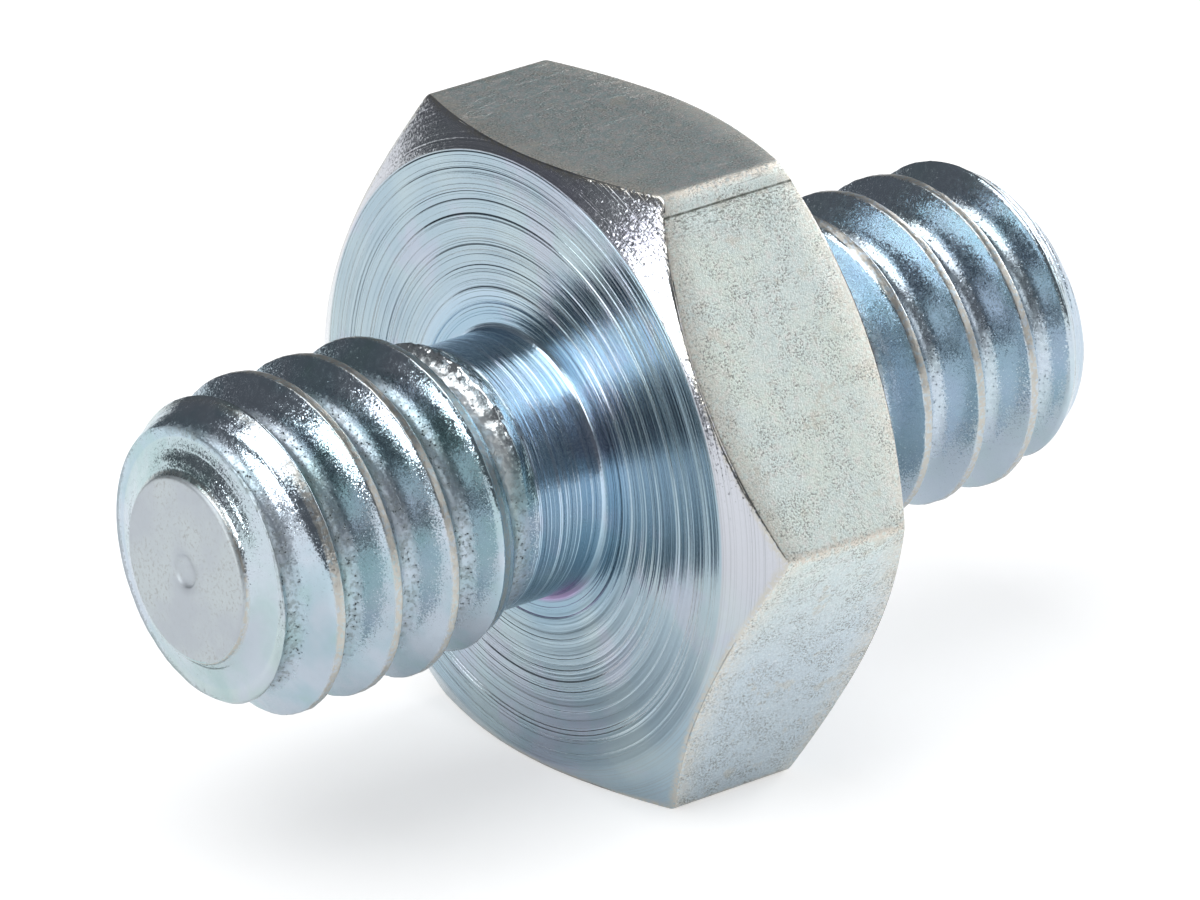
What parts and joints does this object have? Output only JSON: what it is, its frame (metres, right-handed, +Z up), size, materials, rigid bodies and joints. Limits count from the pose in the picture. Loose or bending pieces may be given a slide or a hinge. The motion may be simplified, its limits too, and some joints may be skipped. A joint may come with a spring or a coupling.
{
  "type": "double ended thread adapter",
  "caption": "Male to male camera thread adapter: a hexagon flange with a short threaded stud on each side, turned in one piece.",
  "frame": {"origin": "middle of the part along the studs, on the flat of the hexagon that it lies on", "axes": "+X along the studs, towards the rear stud; +Z up, square to the flat that it lies on"},
  "size_m": [0.0192, 0.0138, 0.012],
  "materials": {
    "zinc_plate": "bright zinc plate with a blue tint, fine turning lines and matt sawn ends"
  },
  "bodies": {
    "root": {"thread_adapter": "zinc_plate"}
  },
  "joints": []
}
